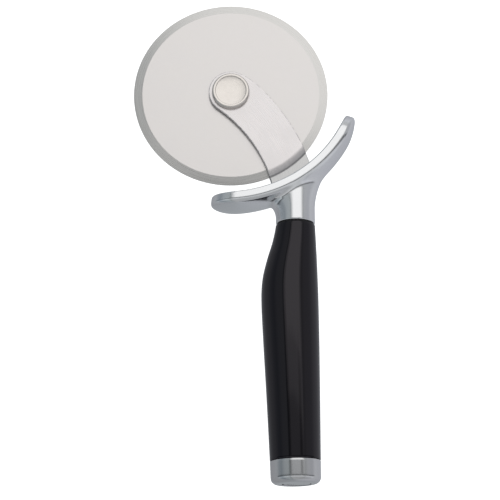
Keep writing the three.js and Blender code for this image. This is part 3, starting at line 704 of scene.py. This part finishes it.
def bolster_field(points):
    """Distance from the casting: guard, neck and spigot, less the arms' slot and the rod's hole."""
    guard, neck = guard_field(points), neck_field(points)
    near = np.maximum(NECK_BLEND - np.abs(guard - neck), 0) / NECK_BLEND
    body = np.minimum(guard, neck) - near ** 2 * NECK_BLEND / 4
    x, y, z = points[:, 0], points[:, 1], points[:, 2]
    from_rod = np.hypot(x - ROD_X, z)
    spigot = np.maximum(from_rod - SPIGOT_RADIUS, np.maximum(SPIGOT_END - y, y - SPIGOT_TOP))
    body = np.minimum(body, spigot)
    body = np.maximum(body, -np.maximum(from_rod - ROD_HOLE, y - ROD_HOLE_TOP))
    tongue = np.maximum(np.abs(x - ROD_X) - TONGUE_HALF - CASTING_GAP, TONGUE_END - CASTING_GAP - y)
    pocket = np.maximum(np.abs(z) - POCKET_HALF, y - POCKET_TOP)
    body = np.maximum(body, -np.maximum(tongue, pocket))
    inner = ARM_INNER - CASTING_GAP - np.hypot(x - INNER_CENTRE[0], y - INNER_CENTRE[1])
    outer = np.hypot(x - OUTER_CENTRE[0], y - OUTER_CENTRE[1]) - ARM_OUTER - CASTING_GAP
    slot = np.maximum(np.maximum(inner, outer), np.hypot(x, y) - TANG_REACH - CASTING_GAP)
    slot = np.maximum(np.maximum(slot, np.abs(z) - TANG_SLOT), -x)
    return np.maximum(body, -slot)


def satin_chrome(name, color, roughness, grain_size):
    material, tree, shader = new_material(name, 1, roughness, color)
    local = from_centre(tree, (ROD_X, NECK_END, 0))
    grain, smudge = grain_in(tree, local, grain_size, local, 45.0)
    paler = tuple(min(c * 1.03, 1) for c in color)
    darker = tuple(c * 0.97 for c in color)
    cloud = span(tree, smudge, 0.3, 0.7, 0, 1)
    tree.links.new(blend_colors(tree, cloud, darker, paler), shader.inputs["Base Color"])
    low, high = roughness - 0.02, roughness + 0.03
    tree.links.new(span(tree, cloud, 0, 1, low, high), shader.inputs["Roughness"])
    bump_in(tree, shader, grain, 0.06, 0.00001)
    return material


CASTING_LOW, CASTING_HIGH, CASTING_CELL = (-12, -80, -10.6), (59.6, -9, 10.6), 0.42
bolster_points, bolster_quads = skin(bolster_field, CASTING_LOW, CASTING_HIGH, CASTING_CELL)
bolster = make_piece("bolster", bolster_points, bolster_quads, 60)
bolster.data.materials.append(satin_chrome("satin_chrome", (0.83, 0.835, 0.845), 0.17, 1400.0))
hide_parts("bolster_guard")
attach(bolster, "handle")

# ---------------------------------------------------------------------------------------------
# Grip: an oval of gloss black plastic, slimmer where the forefinger lies, moulded over a dull
# core. A thin near-black ring in its joint with the neck is painted shade for the shadow in that gap,
# and its far end takes the cap.
# ---------------------------------------------------------------------------------------------
GRIP_LENGTH = 107.0
GRIP_START = NECK_END - 0.8
CAP_JOINT = NECK_END - GRIP_LENGTH
CAP_BOTTOM = CAP_JOINT - 10
GRIP_LEAN = 0.0227
SHELL_WALL = 2.6
# share of the grip's length, then its skin left and right of the rod, and half its depth
GRIP_OVALS = np.array([
    (-0.09, 8.1, 9.6, 8.4), (0, 8.3, 9.4, 8.35), (0.0785, 9.9, 9.7, 8.9), (0.1533, 12.3, 10, 9.9),
    (0.2374, 14.4, 10.25, 10.7), (0.3215, 15, 10.45, 11.2), (0.4897, 14.3, 10.6, 11.385),
    (0.714, 13, 10.6, 11.1), (1, 11.5, 10.5, 10.3), (1.0935, 11.1, 10.5, 10)])


def oval_at(y):
    """Left reach, right reach and half depth of the handle at a level, by a smooth curve."""
    share = (NECK_END - y) / GRIP_LENGTH
    shares = GRIP_OVALS[:, 0]
    k = int(np.clip(np.searchsorted(shares, share) - 1, 0, len(shares) - 2))
    width = shares[k + 1] - shares[k]
    t = (share - shares[k]) / width

    def slope(i):
        before, after = GRIP_OVALS[max(i - 1, 0)], GRIP_OVALS[min(i + 1, len(shares) - 1)]
        return (after - before) / (after[0] - before[0])

    ovals = (2 * t ** 3 - 3 * t ** 2 + 1) * GRIP_OVALS[k] + (3 * t ** 2 - 2 * t ** 3) * GRIP_OVALS[k + 1]
    slopes = (t ** 3 - 2 * t ** 2 + t) * slope(k) + (t ** 3 - t ** 2) * slope(k + 1)
    return (ovals + width * slopes)[1:]


def oval_ring(y, inset, sides):
    """One ring of the handle's skin at a level, set in by inset."""
    left, right, deep = oval_at(y)
    turns = np.linspace(0, 2 * math.pi, sides, endpoint=False)
    across = ((left + right) / 2 - inset) * np.cos(turns)
    lean = GRIP_LEAN * np.clip((y - NECK_END) / (CAP_JOINT - NECK_END), 0, 1)
    middle = ROD_X + (right - left) / 2
    return np.stack([middle + across, y + lean * across, (deep - inset) * np.sin(turns)], 1)


def sleeve(name, start, end, wall, rows, edge=0.3, sides=144):
    """A tube of the handle's form, with rounded outer edges at both ends."""
    levels = [(start, edge), (start - edge * 0.3, edge * 0.3), (start - edge, 0)]
    levels += [(y, 0) for y in np.linspace(start - edge, end + edge, rows)[1:-1]]
    levels += [(end + edge, 0), (end + edge * 0.3, edge * 0.3), (end, edge)]
    levels += [(y, wall) for y in np.linspace(end, start, rows // 3)]
    points = np.concatenate([oval_ring(y, inset, sides) for y, inset in levels])
    return make_piece(name, points, ring_faces(len(levels), sides, True))


def gloss_black():
    material, tree, shader = new_material("gloss_black", 0, 0.1, (0.001, 0.0008, 0.002))
    shader.inputs["Specular Tint"].default_value = (0.96, 0.9, 0.97, 1)
    local = from_centre(tree, (ROD_X, NECK_END, 0))
    grain, smudge = grain_in(tree, local, 2200.0, local, 70.0)
    tree.links.new(
        blend_colors(tree, smudge, (0.0006, 0.0004, 0.0015), (0.0016, 0.0012, 0.003)),
        shader.inputs["Base Color"])
    tree.links.new(span(tree, smudge, 0.3, 0.7, 0.07, 0.12), shader.inputs["Roughness"])
    bump_in(tree, shader, grain, 0.02, 0.00001)
    return material


grip = sleeve("grip", GRIP_START, CAP_JOINT, SHELL_WALL, 150)
grip.data.materials.append(gloss_black())
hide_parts("grip_shell")
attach(grip, "handle")


def dull_plastic(name, color, roughness):
    material, tree, shader = new_material(name, 0, roughness, color)
    local = from_centre(tree, (ROD_X, NECK_END, 0))
    grain, smudge = grain_in(tree, local, 1500.0, local, 150.0)
    tree.links.new(
        blend_colors(tree, smudge, tuple(c * 0.8 for c in color), tuple(c * 1.2 for c in color)),
        shader.inputs["Base Color"])
    low, high = roughness - 0.06, roughness + 0.06
    tree.links.new(span(tree, grain, 0.3, 0.7, low, high), shader.inputs["Roughness"])
    bump_in(tree, shader, grain, 0.1, 0.00002)
    return material


# Painted shade: a near-black ring set a little inside the joint between neck and grip stands in for the
# shadow in that gap.
SHADE_RING_WALL = 3.9
SHADE_RING_SHRINK = 0.945         # the dark ring lies a little inside the joint's skin
gasket = sleeve("joint_shade_ring", NECK_END - 0.15, NECK_END - 0.65, SHADE_RING_WALL, 6, edge=0.1)
joint_left, joint_right, _ = oval_at(NECK_END)
joint = Vector(in_frame([(ROD_X + (joint_right - joint_left) / 2, 0, 0)])[0])
for vertex in gasket.data.vertices:
    vertex.co.x = joint.x + (vertex.co.x - joint.x) * SHADE_RING_SHRINK
    vertex.co.z = joint.z + (vertex.co.z - joint.z) * SHADE_RING_SHRINK
gasket.data.materials.append(dull_plastic("gasket_rubber", (0.012, 0.012, 0.013), 0.62))
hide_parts("neck_gasket")
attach(gasket, "handle")

core = frame["nodes"]["grip_core"]
core.data.materials.clear()
core.data.materials.append(dull_plastic("core_plastic", (0.03, 0.03, 0.034), 0.55))

# ---------------------------------------------------------------------------------------------
# Tie rod, its washer and nut, and the two tang rivets: plain zinc-plated steel, all inside. The
# rod screws into the spigot and draws the grip up; the rivets close the tongues together.
# ---------------------------------------------------------------------------------------------


def plated_steel():
    material, tree, shader = new_material("plated_steel", 1, 0.38, (0.5, 0.5, 0.51))
    local = from_centre(tree, (ROD_X, NECK_END, 0))
    grain, smudge = grain_in(tree, local, 1100.0, local, 300.0)
    tree.links.new(
        blend_colors(tree, smudge, (0.45, 0.45, 0.46), (0.58, 0.58, 0.58)), shader.inputs["Base Color"])
    tree.links.new(span(tree, grain, 0.3, 0.7, 0.32, 0.46), shader.inputs["Roughness"])
    bump_in(tree, shader, grain, 0.12, 0.00001)
    return material


PLATED_STEEL = plated_steel()
for node in ("tie_rod", "tie_washer", "tie_nut", "tang_rivet_1", "tang_rivet_2"):
    frame["nodes"][node].data.materials.clear()
    frame["nodes"][node].data.materials.append(PLATED_STEEL)

# ---------------------------------------------------------------------------------------------
# End cap: a drawn metal cup, satin plated, pressed over the core's end. Its corner is rounded,
# and a round plug sits just below its flat end over the nut.
# ---------------------------------------------------------------------------------------------
CAP_START = CAP_JOINT - 0.15
CAP_CORNER = 2.7
CAP_FLOOR = 4.6
PLUG_RADIUS = 6.0
PLUG_HOLE = 6.3


def end_cap(name, sides=144):
    """The cup: skin, rounded corner, flat end with the plug's hole, and the pocket inside."""
    corner = [(CAP_BOTTOM + CAP_CORNER * (1 - math.sin(t)), CAP_CORNER * (1 - math.cos(t)))
              for t in np.linspace(0, math.pi / 2, 12)]
    levels = [(CAP_START, 0.3), (CAP_START - 0.1, 0.08), (CAP_START - 0.3, 0)]
    levels += [(y, 0) for y in np.linspace(CAP_START - 0.3, corner[0][0], 10)[1:-1]] + corner
    rings = [oval_ring(y, inset, sides) for y, inset in levels]
    turns = np.linspace(0, 2 * math.pi, sides, endpoint=False)
    hole_x, hole_z = ROD_X + PLUG_HOLE * np.cos(turns), PLUG_HOLE * np.sin(turns)
    left, right, _ = oval_at(CAP_BOTTOM)
    outside = rings[-1][:, 1].mean() + GRIP_LEAN * (hole_x - ROD_X - (right - left) / 2)
    inside = np.full(sides, CAP_BOTTOM + CAP_FLOOR)
    rings += [np.stack([hole_x, level, hole_z], 1) for level in (outside, inside)]
    rings += [oval_ring(y, SHELL_WALL, sides) for y in (CAP_BOTTOM + CAP_FLOOR, CAP_START)]
    return make_piece(name, np.concatenate(rings), ring_faces(len(rings), sides, True))


CAP_METAL = satin_chrome("satin_cap", (0.68, 0.68, 0.685), 0.15, 1800.0)
cap = end_cap("cap")
plug_profile = [
    (0, CAP_BOTTOM + 0.2), (5.2, CAP_BOTTOM + 0.2), (5.85, CAP_BOTTOM + 0.25),
    (PLUG_RADIUS, CAP_BOTTOM + 0.4), (PLUG_RADIUS, CAP_BOTTOM + 2.4), (0, CAP_BOTTOM + 2.4)]
plug_turns = np.linspace(0, 2 * math.pi, 96, endpoint=False)
plug_points = [
    (ROD_X + r * math.cos(t), y, r * math.sin(t)) for r, y in plug_profile for t in plug_turns]
plug = make_piece("cap_plug_disc", plug_points, ring_faces(len(plug_profile), len(plug_turns), False))
for piece, node in ((cap, "end_cap"), (plug, "cap_plug")):
    piece.data.materials.append(CAP_METAL)
    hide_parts(node)
    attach(piece, "handle")

# ---------------------------------------------------------------------------------------------
# Studio: a plain pale floor, a large soft light overhead and behind, walls that reflect in the
# metal from all round, and a camera above the handle that looks down at the cutter.
# ---------------------------------------------------------------------------------------------
FLOOR_REACH, FLOOR_LEVEL = 8, -0.0002   # in metres, just below the lowest piece
floor_mesh = bpy.data.meshes.new("floor")
floor_corners = [(x * FLOOR_REACH, y * FLOOR_REACH, FLOOR_LEVEL)
                 for x, y in ((-1, -1), (1, -1), (1, 1), (-1, 1))]
floor_mesh.from_pydata(floor_corners, [], [(0, 1, 2, 3)])
floor = bpy.data.objects.new("floor", floor_mesh)
bpy.context.scene.collection.objects.link(floor)
floor_material, _, floor_shader = new_material("pale_floor", 0, 0.9, (0.8, 0.8, 0.8))
floor_shader.inputs["Emission Color"].default_value = (1, 1, 1, 1)
floor_shader.inputs["Emission Strength"].default_value = 1.05
floor.data.materials.append(floor_material)
floor.visible_glossy = False

world = bpy.data.worlds.new("studio")
bpy.context.scene.world = world
world.use_nodes = True
room = world.node_tree
sky = add(room, "ShaderNodeSeparateXYZ", i0=add(room, "ShaderNodeTexCoord").outputs["Generated"])
turn = span(room, sums(room, "ARCTAN2", sky.outputs[0], sky.outputs[2]), -math.pi, math.pi, 0, 1)


def ramp(tree, position, stops):
    """Colours by position, 0 to 1, from a list of (position, colour)."""
    node = tree.nodes.new("ShaderNodeValToRGB")
    elements = node.color_ramp.elements
    while len(elements) < len(stops):
        elements.new(0.5)
    for element, (at, color) in zip(elements, stops):
        element.position, element.color = at, (*color, 1)
    tree.links.new(position, node.inputs[0])
    return node.outputs[0]


# brightness of the room by direction: degrees from straight up, negative to the left
WALLS = [
    (-180, (0.36, 0.38, 0.40)), (-140, (0.33, 0.34, 0.36)), (-112, (0.36, 0.37, 0.39)),
    (-92, (0.37, 0.39, 0.41)), (-76, (0.27, 0.30, 0.325)), (-64, (0.235, 0.265, 0.29)),
    (-50, (0.35, 0.38, 0.40)), (-30, (0.38, 0.41, 0.42)), (-27, (0.22, 0.24, 0.25)),
    (-24, (0.22, 0.24, 0.25)), (-21, (0.42, 0.43, 0.44)), (30, (0.42, 0.43, 0.44)),
    (39, (0.36, 0.37, 0.38)), (44, (0.36, 0.37, 0.38)), (50, (0.43, 0.44, 0.46)),
    (76, (0.41, 0.42, 0.45)), (92, (0.52, 0.53, 0.56)), (140, (0.47, 0.48, 0.52)),
    (180, (0.36, 0.38, 0.40))]
walls = ramp(room, turn, [((degrees + 180) / 360, color) for degrees, color in WALLS])
# and, above the floor, by how far a direction leans: -1 along the handle, 1 along the blade
LEANS = [
    (-1.0, 0.5), (-0.6, 0.5), (-0.45, 0.72), (-0.2, 0.72), (-0.12, 0.15), (0.0, 0.15),
    (0.06, 0.5), (0.75, 0.5), (0.9, 0.72), (1.0, 0.72)]
leans = ramp(
    room, span(room, sky.outputs[1], -1, 1, 0, 1), [((y + 1) / 2, (s, s, s)) for y, s in LEANS])
# two dark posts stand either side of the light, on the handle's side
POSTS = [(-29, 0), (-25, 1), (-19, 1), (-15, 0), (19, 0), (23, 1), (29, 1), (33, 0)]
posts = ramp(room, turn, [((degrees + 180) / 360, (v, v, v)) for degrees, v in POSTS])
top_end = span(room, sky.outputs[1], 0.28, 0.17, 0, 0.55)
low_end = span(room, sky.outputs[1], 0.02, 0.09, 0, 1)
posts = sums(room, "MULTIPLY", posts, sums(room, "MULTIPLY", top_end, low_end))
strength = span(room, leans, 0, 1, 0, 2)
in_front = span(room, sky.outputs[2], 0.0, 0.1, 0, 1)
strength = add(room, "ShaderNodeMix", i0=in_front, i2=1.0, i3=strength).outputs[0]
strength = sums(room, "MULTIPLY", strength, sums(room, "SUBTRACT", 1.0, posts))
camera_ray = add(room, "ShaderNodeLightPath").outputs["Is Camera Ray"]
backdrop = room.nodes["Background"]
room.links.new(blend_colors(room, camera_ray, walls, (1, 1, 1)), backdrop.inputs["Color"])
room.links.new(sums(room, "MAXIMUM", strength, camera_ray), backdrop.inputs["Strength"])


def soft_light(name, low, high, height, radiance, color):
    """A soft rectangular light that faces down, between two corners in millimetres from the hub."""
    data = bpy.data.lights.new(name, "AREA")
    data.shape = "RECTANGLE"
    data.size, data.size_y = (high[0] - low[0]) * MM, (high[1] - low[1]) * MM
    data.energy = radiance * math.pi * data.size * data.size_y
    data.color = color
    lamp = bpy.data.objects.new(name, data)
    lamp.location = in_frame([((low[0] + high[0]) / 2, (low[1] + high[1]) / 2, height)])[0]
    bpy.context.scene.collection.objects.link(lamp)


# its edges fade: two panels, one a little larger than the other, at two heights because lamps
# that lie in one plane hide each other
for low, high, height in (((-620, 90), (1190, 2000), 1500), ((-430, 250), (1000, 2000), 1520)):
    soft_light("overhead", low, high, height, 0.31, (1.0, 0.985, 0.965))

CAMERA_PLACE, CAMERA_TARGET = (7.0, -267.68, 621.0), (8.91, -75.71, 0)
LENS = 104.2
camera_data = bpy.data.cameras.new("camera")
camera_data.sensor_width = 36
camera_data.lens = LENS
camera_data.clip_start, camera_data.clip_end = 0.05, 50
camera = bpy.data.objects.new("camera", camera_data)
camera.location = in_frame([CAMERA_PLACE])[0]
target = Vector(in_frame([CAMERA_TARGET])[0])
camera.rotation_mode = "QUATERNION"
back = (camera.location - target).normalized()
right = Vector((0, 1, 0)).cross(back).normalized()
camera.rotation_quaternion = Matrix((right, back.cross(right), back)).transposed().to_quaternion()
bpy.context.scene.collection.objects.link(camera)
bpy.context.scene.camera = camera
bpy.context.scene.view_settings.view_transform = "Standard"
bpy.context.scene.view_settings.look = "None"
